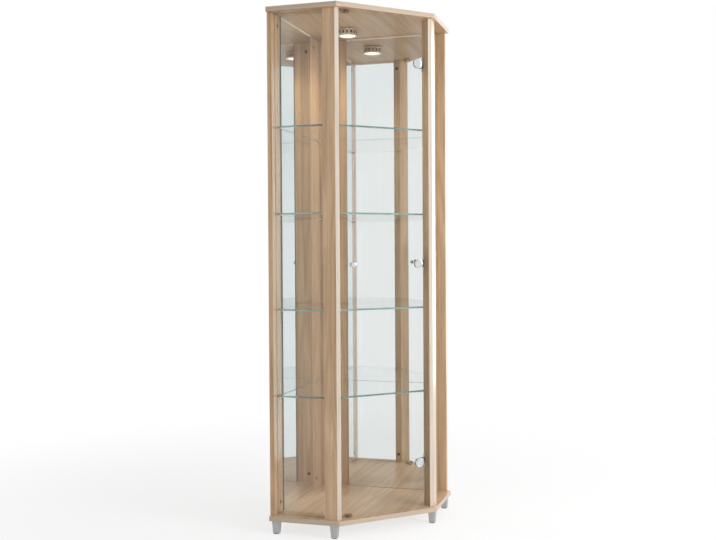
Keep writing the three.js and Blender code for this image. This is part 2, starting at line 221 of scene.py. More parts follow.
# Top and base boards
# Five-sided 16 mm boards faced with light oak foil, with a paler band glued round the edge. The grain runs
# beside the left wall. Each board has its own tones of the same foil: the base board is painted paler,
# painted light on the dim floor inside, and the top board darker and flatter, painted shade on the ceiling.
arris = 0.0007
oak_light = (0.610, 0.430, 0.278, 1)
oak_dark = (0.350, 0.222, 0.128, 1)
oak_pore = (0.200, 0.120, 0.065, 1)
# Painted light and shade: the base board's foil is paler and the top board's darker than the posts'.
lit_and_shaded_board_tones = {"base_board": ((0.430, 0.272, 0.156, 1), (0.640, 0.440, 0.274, 1)),
               "top_board": ((0.380, 0.238, 0.134, 1), (0.535, 0.362, 0.222, 1))}
band_light = (0.530, 0.430, 0.340, 1)
band_dark = (0.400, 0.310, 0.235, 1)
# Stretch of the fine lines: level for the boards' edge band, upright for the painted highlight on the
# posts' front faces.
band_and_highlight_stretch = {"level": (2.0, 2.0, 260.0), "upright": (160.0, 160.0, 3.0)}
beside_left_wall = (math.radians(90), math.radians(-45), 0)
merge_reach = 0.00001
flat_angle, edge_angle = math.radians(1), math.radians(30)

# Each layer of the figure: scale, squeeze along the grain, detail, roughness and distortion.
oak_layers = {"bands": (7.0, 0.10, 2.0, 0.5, 0.6), "streaks": (170.0, 0.02, 4.0, 0.6, 0.3),
              "fibres": (700.0, 0.02, 3.0, 0.6, 0.0), "pores": (1900.0, 0.03, 2.0, 0.5, 0.0),
              "saw marks": (60.0, 9.0, 3.0, 0.55, 0.0)}
flower_turns = 60.0
flower_share, streak_share, fibre_share = 0.45, 0.62, 0.30
pore_amount, saw_amount = 0.5, 0.22
slow_edges, tone_edges, pore_edges, saw_edges = (0.35, 0.65), (0.30, 0.70), (0.60, 0.72), (0.55, 0.80)
foil_roughness = (0.42, 0.32)
fibre_height = 0.25
foil_relief = (0.2, 0.0002)
noise_spread = (0.3, 0.7)
flat_facing, front_highlight_facing, coat_facing = (0.4, 0.6), (0.82, 0.92), (0.92, 0.98)
socket_kinds = {"Vector": "Vector", "Normal": "Vector", "Axis": "Vector", "Color": "Color",
                "Dark": "Color", "Light": "Color"}


def new_group(name, inputs, outputs):
    """A shader node group with named sockets, which are plain numbers unless socket_kinds says more."""
    group = bpy.data.node_groups.new(name, "ShaderNodeTree")
    for way, labels in (("INPUT", inputs), ("OUTPUT", outputs)):
        for label in labels:
            kind = "NodeSocket" + socket_kinds.get(label, "Float")
            group.interface.new_socket(label, in_out=way, socket_type=kind)
    start, end = (group.nodes.new(kind) for kind in ("NodeGroupInput", "NodeGroupOutput"))
    start.location.x = -node_step[0] * (nodes_in_row + 1)
    return group, start.outputs, end


def add_group(tree, group, **inputs):
    """Adds a node that holds the group, sets its inputs and returns its outputs."""
    node = add_node(tree, "Group")
    node.node_tree = group
    set_inputs(tree, node, **inputs)
    return node.outputs


def drawn_out_noise(tree, vector, scale, squeeze, detail, rough, distort):
    """Noise whose features are longer along Z, by one over the squeeze."""
    stretch = add_node(tree, "Mapping", Vector=vector, Scale=(1.0, 1.0, squeeze))
    noise = add_node(tree, "TexNoise", Vector=stretch.outputs[0], Scale=scale, Detail=detail,
                     Roughness=rough, Distortion=distort)
    return noise.outputs["Fac"]


def oak_figure_group():
    """Oak foil with its grain along Z. The tone mixes slow bands with the sine of the same noise, which
    draws the flower figure, then with streaks and with fibres. Dark pores, which are sunk, and pale saw
    marks lie over it where their own noise is high."""
    group, given, end = new_group("oak_figure", ("Vector", "Dark", "Light"),
                                  ("Color", "Roughness", "Height"))
    bands, streaks, fibres, pores, saw_marks = (
        drawn_out_noise(group, given["Vector"], *layer) for layer in oak_layers.values())

    turns = add_math(group, "MULTIPLY", bands, flower_turns)
    wave = add_math(group, "SINE", turns)
    flower = add_range(group, wave, (-1.0, 1.0))
    slow = add_range(group, bands, slow_edges, smooth=True)
    figure = mix_values(group, flower_share, slow, flower)
    grain = mix_values(group, streak_share, figure, streaks)
    fine = mix_values(group, fibre_share, grain, fibres)
    tone = add_range(group, fine, tone_edges)
    wood = mix_colours(group, tone, given["Dark"], given["Light"])

    pore_mask = add_range(group, pores, pore_edges)
    open_pores = add_math(group, "MULTIPLY", pore_mask, pore_amount)
    pored = mix_colours(group, open_pores, wood, oak_pore)
    saw_mask = add_range(group, saw_marks, saw_edges, (0.0, saw_amount))
    marked = mix_colours(group, saw_mask, pored, given["Light"])
    rough = add_range(group, tone, (0.0, 1.0), foil_roughness)
    sunk = add_math(group, "SUBTRACT", 1.0, open_pores)
    height = add_math(group, "MULTIPLY_ADD", fibres, fibre_height, sunk)
    set_inputs(group, end, Color=marked, Roughness=rough, Height=height)
    return group


def band_and_highlight_lines_group():
    """Fine lines on an edge band and on the posts' painted highlight: noise over stretched coordinates,
    spread over two tones.
    """
    group, given, end = new_group("band_and_highlight_lines", ("Vector", "Dark", "Light"), ("Color",))
    noise = add_node(group, "TexNoise", Vector=given["Vector"], Scale=1.5, Detail=4.0, Roughness=0.6)
    share = add_range(group, noise.outputs["Fac"], noise_spread)
    set_inputs(group, end, Color=mix_colours(group, share, given["Dark"], given["Light"]))
    return group


def facing_group():
    """1 where the normal looks along the axis and 0 where it looks away: their dot product, spread from
    0 at the low value to 1 at the high one."""
    group, given, end = new_group("facing", ("Normal", "Axis", "Low", "High"), ("Mask",))
    dot = add_node(group, "VectorMath", i0=given["Normal"], i1=given["Axis"])
    dot.operation = "DOT_PRODUCT"
    mask = add_range(group, dot.outputs["Value"], (given["Low"], given["High"]))
    set_inputs(group, end, Mask=mask)
    return group


oak_figure = oak_figure_group()
band_and_highlight_lines = band_and_highlight_lines_group()
facing = facing_group()


def facing_mask(tree, axis, span):
    """Where the surface looks along the axis in the piece's own frame."""
    normal = add_node(tree, "TexCoord").outputs["Normal"]
    return add_group(tree, facing, Normal=normal, Axis=axis, Low=span[0], High=span[1])["Mask"]


def new_material(name, **inputs):
    """A material with one Principled BSDF whose named sockets are set here."""
    material = bpy.data.materials.new(name)
    material.use_nodes = True
    tree = material.node_tree
    shader = tree.nodes["Principled BSDF"]
    set_inputs(tree, shader, **inputs)
    return material, tree, shader


def mix_surface(tree, share, shader, other):
    """Mixes the shader with another one by a linked or plain share, and makes that the surface."""
    surface = mix_shaders(tree, share, shader, other)
    set_inputs(tree, tree.nodes["Material Output"], Surface=surface)


def object_place(tree):
    """The place on the piece, in its own frame."""
    return add_node(tree, "TexCoord").outputs["Object"]


def add_relief(tree, shader, height, relief):
    """Feeds a height to the shader's normal as a relief, which is given as its strength and depth."""
    bump = add_node(tree, "Bump", Height=height, Strength=relief[0], Distance=relief[1])
    set_inputs(tree, shader, Normal=bump.outputs[0])


def oak_material(name, turn=(0, 0, 0), shift=(0, 0, 0), tones=(oak_dark, oak_light), band_or_highlight_faces=None,
                 band=(band_dark, band_light), coat_face=None):
    """Oak foil with its grain along Z after the turn. Where an axis is given for the band faces, the faces
    that look along it take the band tones, drawn with fine lines beside the edge. A level axis names one
    face, and there the tones are a painted highlight; the upright axis names every face but the top and the
    underside, and there they are the paler edge band. Only the faces that look along coat_face are
    lacquered."""
    material, tree, shader = new_material(name, Specular_IOR_Level=0.22, Coat_IOR=2.3, Coat_Roughness=0.16)
    place = object_place(tree)
    mapping = add_node(tree, "Mapping", Vector=place, Rotation=turn, Location=shift)
    figure = add_group(tree, oak_figure, Vector=mapping.outputs[0], Dark=tones[0], Light=tones[1])
    colour = figure["Color"]
    if band_or_highlight_faces is not None:
        way = "level" if band_or_highlight_faces[2] == 1 else "upright"
        lines = add_node(tree, "Mapping", Vector=place, Location=shift, Scale=band_and_highlight_stretch[way])
        strip = add_group(tree, band_and_highlight_lines, Vector=lines.outputs[0], Dark=band[0], Light=band[1])
        if way == "level":
            top = facing_mask(tree, (0, 0, 1), flat_facing)
            under = facing_mask(tree, (0, 0, -1), flat_facing)
            wide = add_math(tree, "MAXIMUM", top, under)
            mask = add_math(tree, "SUBTRACT", 1.0, wide)
        else:
            # The front face of a post: these tones are a painted highlight.
            mask = facing_mask(tree, band_or_highlight_faces, front_highlight_facing)
        colour = mix_colours(tree, mask, colour, strip["Color"])
    if coat_face is not None:
        set_inputs(tree, shader, Coat_Weight=facing_mask(tree, coat_face, coat_facing))
    set_inputs(tree, shader, Base_Color=colour, Roughness=figure["Roughness"])
    add_relief(tree, shader, figure["Height"], foil_relief)
    return material


def own_piece(piece, body, nodes=()):
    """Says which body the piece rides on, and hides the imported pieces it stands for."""
    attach(piece, body)
    if nodes:
        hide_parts(*nodes)


def eased_copy(node, name, width, body, materials, segments=2, flat_axis=None):
    """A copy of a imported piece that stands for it. Its triangles are merged into flat faces, and every
    edge sharper than 30 degrees is rounded to the given width. With a flat axis, the faces that don't
    look along it either way get the second material."""
    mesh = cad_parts[node].data.copy()
    mesh.name = name
    shape = bmesh.new()
    shape.from_mesh(mesh)
    bmesh.ops.remove_doubles(shape, verts=shape.verts, dist=merge_reach)
    bmesh.ops.dissolve_limit(shape, angle_limit=flat_angle, verts=shape.verts, edges=shape.edges)
    shape.to_mesh(mesh)
    shape.free()
    if "custom_normal" in mesh.attributes:
        mesh.attributes.remove(mesh.attributes["custom_normal"])
    mesh.polygons.foreach_set("use_smooth", np.zeros(len(mesh.polygons), dtype=bool))
    mesh.materials.clear()
    for material in materials:
        mesh.materials.append(material)
    if flat_axis is not None:
        normals = np.empty(3 * len(mesh.polygons))
        mesh.polygons.foreach_get("normal", normals)
        across = np.abs(normals.reshape(-1, 3) @ np.array(flat_axis)) < 0.5
        mesh.polygons.foreach_set("material_index", across.astype(np.int32))
    piece = bpy.data.objects.new(name, mesh)
    scene.collection.objects.link(piece)
    ease = piece.modifiers.new("eased_edges", "BEVEL")
    ease.width = width
    ease.segments = segments
    ease.limit_method = "ANGLE"
    ease.angle_limit = edge_angle
    ease.use_clamp_overlap = True
    own_piece(piece, body, [node])


for number, node in enumerate(("base_board", "top_board")):
    finish = oak_material(f"oak_{node}_foil", beside_left_wall, (0.31 * number, 0.2, 0.4),
                          lit_and_shaded_board_tones[node], band_or_highlight_faces=(0, 0, 1))
    eased_copy(node, f"oak_{node}", arris, "cabinet", [finish])


# Wall boards
# Two 16 mm boards in the same foil meet at a right angle in the corner. The grain is upright. The left one
# is lacquered on the face that looks into the cabinet. Their foil is painted a little paler than the
# posts', painted light for the dimmer inside.
lit_wall_tones = ((0.365, 0.226, 0.126, 1), (0.640, 0.438, 0.272, 1))
half_root = math.sqrt(0.5)
to_the_right = (half_root, -half_root, 0)
for number, (side, coat_face) in enumerate((("left", to_the_right), ("right", None))):
    finish = oak_material(f"oak_wall_{side}_foil", shift=(1.7 * number, 0.6, 0.9), tones=lit_wall_tones,
                          coat_face=coat_face)
    eased_copy(f"wall_board_{side}", f"oak_wall_{side}", arris, "cabinet", [finish])


# Front posts
# Five-sided posts wrapped in the foil, with upright grain. The narrow front face is painted a paler cream
# with fine lines, a painted highlight where the lamps in front light it; the foil there is the same. The
# right post is lacquered on the face beside the side pane.
front_highlight_tones = ((0.450, 0.385, 0.320, 1), (0.560, 0.500, 0.425, 1))
for number, (side, coat_face) in enumerate((("left", None), ("right", to_the_right))):
    finish = oak_material(f"oak_post_{side}_foil", shift=(0.8 + number, 2.3, 1.9), band_or_highlight_faces=(0, -1, 0),
                          band=front_highlight_tones, coat_face=coat_face)
    eased_copy(f"front_post_{side}", f"oak_post_{side}", arris, "cabinet", [finish])


# Mirrors
# Silvered 4 mm glass glued to the wall boards. The face is bright with a faint cold tint, and the cut
# edge is dark green. Light that falls on it and goes on to other pieces is scattered.
mirror_face = (0.845, 0.865, 0.870, 1)
mirror_edge = (0.09, 0.14, 0.12, 1)
edge_to_face_roughness = (0.35, 0.006)
mirror_facing = (0.6, 0.9)
glass_arris = 0.0006
to_the_left = (-half_root, -half_root, 0)
for side, inward in (("left", to_the_right), ("right", to_the_left)):
    finish, tree, shader = new_material(f"silvered_{side}")
    face = facing_mask(tree, inward, mirror_facing)
    tint = mix_colours(tree, face, mirror_edge, mirror_face)
    rough = add_range(tree, face, (0.0, 1.0), edge_to_face_roughness)
    set_inputs(tree, shader, Base_Color=tint, Metallic=face, Roughness=rough)
    path = add_node(tree, "LightPath")
    scatter = add_node(tree, "BsdfDiffuse", Color=mirror_face)
    mix_surface(tree, path.outputs["Is Diffuse Ray"], shader, scatter)
    eased_copy(f"mirror_{side}", f"silvered_mirror_{side}", glass_arris, "cabinet", [finish],
               segments=1)


# Side panes
# 5 mm float glass let into the boards, the wall board and the post. Light that falls on things goes
# straight through it, and its ground edges are sea green.
glass_clear = (0.975, 0.990, 0.984, 1)
glass_shade = (0.975, 0.985, 0.98, 1)
edge_green = (0.52, 0.80, 0.73, 1)
edge_shade = (0.93, 0.98, 0.96, 1)
ground_roughness = (0.12, 0.34)
cloud_depth = 0.72
pane_arris = 0.0004


def glass_material(name, index):
    """Clear float glass that lets falling light pass without bending."""
    material, tree, shader = new_material(name, Base_Color=glass_clear, Roughness=0.0, IOR=index,
                                          Transmission_Weight=1.0)
    path = add_node(tree, "LightPath").outputs
    falling = add_math(tree, "MAXIMUM", path["Is Shadow Ray"], path["Is Diffuse Ray"])
    straight = add_node(tree, "BsdfTransparent", Color=glass_shade)
    mix_surface(tree, falling, shader, straight)
    return material


def ground_edge_group():
    """A ground glass edge: a slow noise clouds its two tones, and a fine one draws grinding marks as
    roughness."""
    group, given, end = new_group("ground_edge", ("Vector", "Dark", "Light"), ("Color", "Roughness"))
    cloud = add_node(group, "TexNoise", Vector=given["Vector"], Scale=35.0, Detail=4.0)
    marks = add_node(group, "TexNoise", Vector=given["Vector"], Scale=1500.0, Detail=2.0)
    share = add_range(group, cloud.outputs["Fac"], noise_spread)
    rough = add_range(group, marks.outputs["Fac"], noise_spread, ground_roughness)
    tone = mix_colours(group, share, given["Dark"], given["Light"])
    set_inputs(group, end, Color=tone, Roughness=rough)
    return group


ground_edge_figure = ground_edge_group()


def edge_material(name, colour, clear, through):
    """A ground and polished glass edge. A share of the light goes straight through it."""
    material, tree, shader = new_material(name, IOR=1.4, Transmission_Weight=clear)
    deep = tuple(cloud_depth * c for c in colour[:3]) + (1,)
    figure = add_group(tree, ground_edge_figure, Vector=object_place(tree), Dark=deep, Light=colour)
    set_inputs(tree, shader, Base_Color=figure["Color"], Roughness=figure["Roughness"])
    straight = add_node(tree, "BsdfTransparent", Color=edge_shade)
    mix_surface(tree, through, shader, straight)
    return material


pane_glass = glass_material("float_glass", index=1.45)
ground_edge = edge_material("ground_glass_edge", edge_green, clear=0.6, through=0.25)
for side, across_pane in (("left", (half_root, half_root, 0)), ("right", (-half_root, half_root, 0))):
    eased_copy(f"side_glass_{side}", f"side_pane_{side}", pane_arris, "cabinet",
               [pane_glass, ground_edge], segments=1, flat_axis=across_pane)


# Shelves
# 6 mm clear glass cut to the inside of the cabinet, with ground and polished sea-green edges. They lie
# loose on their pegs.
shelf_count = 4
for number in range(1, shelf_count + 1):
    eased_copy(f"shelf_{number}", f"glass_shelf_{number}", glass_arris, "cabinet",
               [pane_glass, ground_edge], flat_axis=(0, 0, 1))


# Shelf pegs
# Small plated pegs with a flat tongue, pushed into bores in the boards and the posts. There are five
# under each shelf.
metal_arris = 0.0003
cloud_spread, rim_facing = (0.35, 0.65), (0.35, 0.80)


def plating_cloud_group():
    """The drift of roughness over plating: noise, spread from the low value to the high one."""
    group, given, end = new_group("plating_cloud", ("Vector", "Scale", "Low", "High"), ("Roughness",))
    cloud = add_node(group, "TexNoise", Vector=given["Vector"], Scale=given["Scale"], Detail=4.0,
                     Roughness=0.6)
    rough = add_range(group, cloud.outputs["Fac"], cloud_spread, (given["Low"], given["High"]))
    set_inputs(group, end, Roughness=rough)
    return group


plating_cloud = plating_cloud_group()


def plated_material(name, base, low, high, scale=140.0, rim=None):
    """Polished plating whose roughness drifts a little over the surface. Where rim is given, the colour
    falls to that share of itself on the faces that turn away from the eye, a painted dark reflection along
    the outline."""
    material, tree, shader = new_material(name, Base_Color=base, Metallic=1.0)
    cloud = add_group(tree, plating_cloud, Vector=object_place(tree), Scale=scale, Low=low, High=high)
    set_inputs(tree, shader, Roughness=cloud["Roughness"])
    if rim is not None:
        turned = add_node(tree, "LayerWeight", Blend=0.5)
        share = add_range(tree, turned.outputs["Facing"], rim_facing, smooth=True)
        deep = tuple(rim * c for c in base[:3]) + (1,)
        set_inputs(tree, shader, Base_Color=mix_colours(tree, share, base, deep))
    return material


peg_plating = plated_material("peg_plating", (0.90, 0.90, 0.89, 1), 0.24, 0.38, 600.0)
for number in range(1, shelf_count + 1):
    for spot in ("side_left", "front_left", "corner_left", "side_right", "front_right"):
        node = f"shelf_{number}_peg_{spot}"
        eased_copy(node, f"peg_{number}_{spot}", metal_arris, "cabinet", [peg_plating])


# Door pane
# One frameless tempered pane, 5 mm thick, with polished edges, drilled for the hinges and the knob.
# It is coated against glare.
door_glass = glass_material("tempered_glass", index=1.28)
door_edge = edge_material("polished_door_edge", (0.80, 0.90, 0.86, 1), clear=0.8, through=0.85)
eased_copy("door_glass", "door_pane", glass_arris, "door", [door_glass, door_edge],
           flat_axis=(0, 1, 0))


# Hinge arms and cups
# Die-cast and pressed pieces with polished chrome plating. The arm is screwed to the post, and the
# cup is clamped to the pane through its hole.
# The chrome's colour darkens where its faces turn from the eye: a painted dark reflection.
chrome = plated_material("bright_chrome_plating", (0.70, 0.71, 0.715, 1), 0.10, 0.18, rim=0.30)
ends = ("bottom", "middle", "top")
for end in ends:
    eased_copy(f"hinge_arm_{end}", f"arm_{end}", metal_arris, "cabinet", [chrome])
    eased_copy(f"hinge_cup_{end}", f"cup_{end}", metal_arris, "door", [chrome])


# Hinge caps
# Turned and plated domes over the holes in the pane, with a shallow ring cut near the rim. A short
# skirt passes into the hole.
cap_rim = 0.0018
cap_ease = 0.0008
cap_clear = 0.0003
skirt_radius = 0.004
groove_at, groove_wide, groove_deep = 0.0105, 0.0016, 0.0011


def box_of(node):
    """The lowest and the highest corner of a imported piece, as arrays."""
    low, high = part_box(node)
    return np.array(low), np.array(high)


def mesh_piece(name, points, quads, material, smooth_angle=38):
    """An object from grid points and quads. Doubles are merged, normals point outwards, and edges
    sharper than the angle stay sharp."""
    mesh = bpy.data.meshes.new(name)
    mesh.from_pydata(points.tolist(), [], quads.tolist())
    shape = bmesh.new()
    shape.from_mesh(mesh)
    bmesh.ops.remove_doubles(shape, verts=shape.verts, dist=0.000001)
    bmesh.ops.recalc_face_normals(shape, faces=shape.faces)
    shape.to_mesh(mesh)
    shape.free()
    mesh.polygons.foreach_set("use_smooth", np.ones(len(mesh.polygons), dtype=bool))
    mesh.set_sharp_from_angle(angle=math.radians(smooth_angle))
    mesh.materials.append(material)
    piece = bpy.data.objects.new(name, mesh)
    scene.collection.objects.link(piece)
    return piece


def grid_quads(rows, columns):
    """Quads over a grid of points, row after row, where the last column joins the first."""
    row, column = np.meshgrid(np.arange(rows - 1), np.arange(columns), indexing="ij")
    after = (column + 1) % columns
    return np.stack([row * columns + column, row * columns + after, (row + 1) * columns + after,
                     (row + 1) * columns + column], axis=-1).reshape(-1, 4)


def stand_along(points, centre, axis):
    """Turns points made about Z so that their Z lies along the axis, and moves them to the centre."""
    x, y, z = points[..., 0], points[..., 1], points[..., 2]
    turned = {"+z": (x, y, z), "-z": (x, -y, -z), "-y": (x, -z, y), "+y": (-x, z, y),
              "-x": (-z, x, y)}[axis]
    return np.stack(turned, axis=-1) + np.array(centre)


def revolved(name, profile, centre, axis, material, around=72):
    """Each profile point, a radius and a height, goes round the axis: at each angle, x is the radius
    times its cosine and y the radius times its sine, and z is the height."""
    profile = np.array(profile, dtype=float)
    angle = np.linspace(0, 2 * math.pi, around, endpoint=False)
    r, h = profile[:, 0][:, None], profile[:, 1][:, None]
    points = np.stack([r * np.cos(angle), r * np.sin(angle), h + 0 * angle], axis=-1)
    points = stand_along(points, centre, axis).reshape(-1, 3)
    return mesh_piece(name, points, grid_quads(len(profile), around), material)


def arc(centre, radii, start, stop, steps):
    """Points on an ellipse from one angle in degrees to another: the centre plus one radius times the
    cosine, and the other times the sine."""
    angle = np.radians(np.linspace(start, stop, steps))
    return [(centre[0] + radii[0] * math.cos(a), centre[1] + radii[1] * math.sin(a)) for a in angle]


pane_front, pane_back = (box_of("door_glass")[corner][1] for corner in (0, 1))
for end in ends:
    node = f"hinge_cap_{end}"
    low, high = box_of(node)
    middle = (low + high) / 2
    radius = (high[0] - low[0]) / 2
    seat = pane_front - cap_clear
    thick = seat - low[1]
    skirt_end = seat - high[1]
    profile = [(0, skirt_end), (skirt_radius, skirt_end), (skirt_radius, 0), (radius - cap_ease, 0)]
    profile += arc((radius - cap_ease, cap_ease), (cap_ease, cap_ease), -90, 0, 5)
    dome = arc((0, cap_rim), (radius, thick - cap_rim), 6, 88, 30) + [(0, thick)]
    profile += [(r, h - groove_deep * max(0.0, 1 - ((r - groove_at) / groove_wide) ** 2)) for r, h in dome]
    cap = revolved(f"cap_{end}", profile, (middle[0], seat, middle[2]), "-y", chrome, 96)
    own_piece(cap, "door", [node])


# Door knob and its screw
# Turned from one bar and plated: a foot on the glass, a narrow neck and a rounded head. A flat zinc
# screw holds it from behind.
low, high = box_of("door_knob")
middle = (low + high) / 2
knob_long = high[1] - low[1]
knob_radius = (high[0] - low[0]) / 2
bore_radius, bore_deep = 0.0023, 0.009
base_radius, base_high = 0.008, 0.0025
base_ease, base_round = 0.0006, 0.0010
neck_radius, neck_rise = 0.0045, 0.0055
neck_sweep, neck_bend = 0.0012, 0.0003
flare_wide, flare_long = 0.0004, 0.0020
head_half = 0.0068
profile = [(0, bore_deep), (bore_radius, bore_deep), (bore_radius, 0), (base_radius - base_ease, 0)]
profile += arc((base_radius - base_ease, base_ease), (base_ease, base_ease), -90, 0, 5)
profile += arc((base_radius - base_round, base_high - base_round), (base_round, base_round), 0, 90, 6)
profile += [(neck_radius + neck_sweep, base_high + neck_bend),
            (neck_radius + neck_bend, base_high + neck_sweep), (neck_radius, neck_rise),
            (neck_radius + flare_wide, neck_rise + flare_long)]
profile += arc((0, knob_long - head_half), (knob_radius, head_half), -54, 88, 26) + [(0, knob_long)]
knob = revolved("round_knob", profile, (middle[0], high[1], middle[2]), "-y", chrome, 96)
own_piece(knob, "door", ["door_knob"])
zinc = plated_material("zinc_plating", (0.60, 0.60, 0.58, 1), 0.24, 0.40, 300.0)
eased_copy("knob_screw", "knob_fixing_screw", metal_arris, "door", [zinc])


# Screws of the hinges
# Cross-headed screws: two through the plate of each arm into the post, and one in the back of each
# cup that draws the cap and the cup together.
plate_screw_rise, plate_lip = 0.017, 0.0075
plate_thick = 0.002
plate_screw_radius, plate_screw_high = 0.0034, 0.0012
knuckle_radius = 0.0029
cup_deep = 0.0048
clamp_screw_radius, clamp_screw_high = 0.0048, 0.0009


def cross_head(name, centre, axis, radius, high, material, around=48, rings=13):
    """A domed disc with a cross sunk in it. On a polar grid, the height falls from the middle to the
    rim, and drops by the recess where x or y is within the arm of the cross."""
    reach = np.linspace(0, 1, rings)[:, None] * radius
    angle = np.linspace(0, 2 * math.pi, around, endpoint=False)[None, :]
    x, y = reach * np.cos(angle), reach * np.sin(angle)
    arm, long, slope = 0.16 * radius, 0.62 * radius, 0.12 * radius
    fall, recess = 0.55, 0.6 * high
    along_x = np.clip((arm - np.abs(y)) / slope, 0, 1) * np.clip((long - np.abs(x)) / slope, 0, 1)
    along_y = np.clip((arm - np.abs(x)) / slope, 0, 1) * np.clip((long - np.abs(y)) / slope, 0, 1)
    dome = high * (1 - fall * (reach / radius) ** 2) + 0 * angle
    top = np.stack([x, y, dome - recess * np.maximum(along_x, along_y)], axis=-1)
    skirt = np.stack([x[-1:], y[-1:], 0 * x[-1:]], axis=-1)
    points = np.concatenate([top, skirt, 0 * skirt])
    points = stand_along(points, centre, axis).reshape(-1, 3)
    return mesh_piece(name, points, grid_quads(rings + 2, around), material, 50)


for end in ends:
    arm_low, arm_high = box_of(f"hinge_arm_{end}")
    cap_low, cap_high = box_of(f"hinge_cap_{end}")
    height = (arm_low[2] + arm_high[2]) / 2
    pin_y = box_of(f"hinge_cup_{end}")[1][1] - knuckle_radius
    for way, label in ((-1, "lower"), (1, "upper")):
        place = (arm_high[0] - plate_thick, (pin_y + plate_lip + arm_high[1]) / 2,
                 height + way * plate_screw_rise)
        screw = cross_head(f"plate_screw_{end}_{label}", place, "-x", plate_screw_radius,
                           plate_screw_high, zinc)
        own_piece(screw, "cabinet")
    place = ((cap_low[0] + cap_high[0]) / 2, pane_back + cup_deep, height)
    screw = cross_head(f"clamp_screw_{end}", place, "+y", clamp_screw_radius, clamp_screw_high, zinc)
    own_piece(screw, "door")


# Fittings that join the boards
# Zinc cam locks let into the inner faces of the wall boards and the posts, near the floor and the
# ceiling. A cross for the driver is sunk in each.
floor_top = box_of("base_board")[1][2]
ceiling = box_of("top_board")[0][2]
outer_x, back_y = box_of("top_board")[1][:2]
wall_thick = 0.016
wall_lock_runs = {"wall_outer": 0.070, "wall_corner": 0.440}
post_face_u, post_face_v = 0.2070, 0.0516
lock_rise = 0.034
lock_radius, lock_high = 0.0062, 0.0006


def plan_point(u, v, side):
    """The place u in from a wall and v back from its outer corner, as x and y: their sum and their
    difference over the root of two, from that corner."""
    return side * ((u + v) * half_root - outer_x), (v - u) * half_root + back_y - outer_x


cam_zinc = plated_material("cam_zinc", (0.08, 0.075, 0.06, 1), 0.34, 0.50, 300.0)
for side_name, side in (("left", 1), ("right", -1)):
    inward = (half_root * side, -half_root)
    spots = {spot: (wall_thick, run, inward) for spot, run in wall_lock_runs.items()}
    spots["post"] = (post_face_u, post_face_v, (half_root * side, half_root))
    for spot, (u, v, normal) in spots.items():
        x, y = plan_point(u, v, side)
        turn = Matrix.Rotation(math.atan2(normal[0], -normal[1]), 4, "Z")
        for level, z in (("low", floor_top + lock_rise), ("high", ceiling - lock_rise)):
            lock = cross_head(f"cam_{spot}_{side_name}_{level}", (0, 0, 0), "-y", lock_radius,
                              lock_high, cam_zinc)
            lock.data.transform(Matrix.Translation((x, y, z)) @ turn)
            own_piece(lock, "cabinet")


# Strips over the mirrors
# A slim profile holds the top end of each mirror under the ceiling; its pale cream is a painted highlight,
# the glint along the mirror's top edge. Its outline gives the depth in from the wall's back and the height
# from the ceiling.
highlight_cream_dark, highlight_cream_light = (0.66, 0.56, 0.43, 1), (0.76, 0.67, 0.54, 1)
strip_profile = np.array([(0.02045, -0.0002), (0.0216, -0.0002), (0.0219, -0.0010), (0.0219, -0.0050),
                          (0.0216, -0.0058), (0.02075, -0.0062), (0.02045, -0.0062)])
strip_run = (0.094, 0.388)
# Pale cream standing for a glint: a painted highlight.
strip_finish, tree, shader = new_material("painted_highlight_profile", Roughness=0.38)
cloud = add_node(tree, "TexNoise", Vector=object_place(tree), Scale=60.0, Detail=3.0)
shade = mix_colours(tree, cloud.outputs["Fac"], highlight_cream_dark, highlight_cream_light)
set_inputs(tree, shader, Base_Color=shade)
for side_name, side in (("left", 1), ("right", -1)):
    rings = []
    for v in strip_run:
        x, y = plan_point(strip_profile[:, 0], v, side)
        rings.append(np.stack([x, y, ceiling + strip_profile[:, 1]], axis=-1))
    middles = [np.tile(ring.mean(axis=0), (len(ring), 1)) for ring in rings]
    points = np.concatenate([middles[0], rings[0], rings[1], middles[1]])
    quads = grid_quads(4, len(strip_profile))
    strip = mesh_piece(f"mirror_strip_{side_name}", points, quads, strip_finish, 25)
    own_piece(strip, "cabinet")


# Magnetic catches
# Moulded tan housings screwed to the boards, each with two steel plates at its face, and a strike of
# bronzed steel folded round the edge of the glass.
catch_tan = ((0.320, 0.240, 0.155, 1), (0.380, 0.290, 0.190, 1))
catch_arris, strike_arris = 0.0004, 0.0002
pole_rises = (0.0025, 0.0059)
pole_half, pole_thick, pole_deep = 0.0069, 0.0016, 0.0008
pole_ease, pole_inset, pole_clear = 0.0002, 0.0001, 0.00005
tab_deep, tab_thick = 0.003, 0.003
catch_screw_in = 0.004
catch_screw_radius, catch_screw_high = 0.0027, 0.0009


def moulded_grain_group():
    """A moulded or sprayed surface: fine noise mixes two tones, spreads the roughness from the low
    value to the high one, and is the height."""
    group, given, end = new_group("moulded_grain", ("Vector", "Scale", "Dark", "Light", "Low", "High"),
                                  ("Color", "Roughness", "Height"))
    noise = add_node(group, "TexNoise", Vector=given["Vector"], Scale=given["Scale"], Detail=2.0)
    fine = noise.outputs["Fac"]
    tone = mix_colours(group, fine, given["Dark"], given["Light"])
    rough = add_range(group, fine, noise_spread, (given["Low"], given["High"]))
    set_inputs(group, end, Color=tone, Roughness=rough, Height=fine)
    return group


moulded_grain = moulded_grain_group()


def moulded_material(name, scale, tones, low, high, relief=None, **inputs):
    """A moulded or sprayed finish with a fine grain, and a relief where one is given."""
    material, tree, shader = new_material(name, **inputs)
    grain = add_group(tree, moulded_grain, Vector=object_place(tree), Scale=scale, Dark=tones[0],
                      Light=tones[1], Low=low, High=high)
    set_inputs(tree, shader, Base_Color=grain["Color"], Roughness=grain["Roughness"])
    if relief is not None:
        add_relief(tree, shader, grain["Height"], relief)
    return material


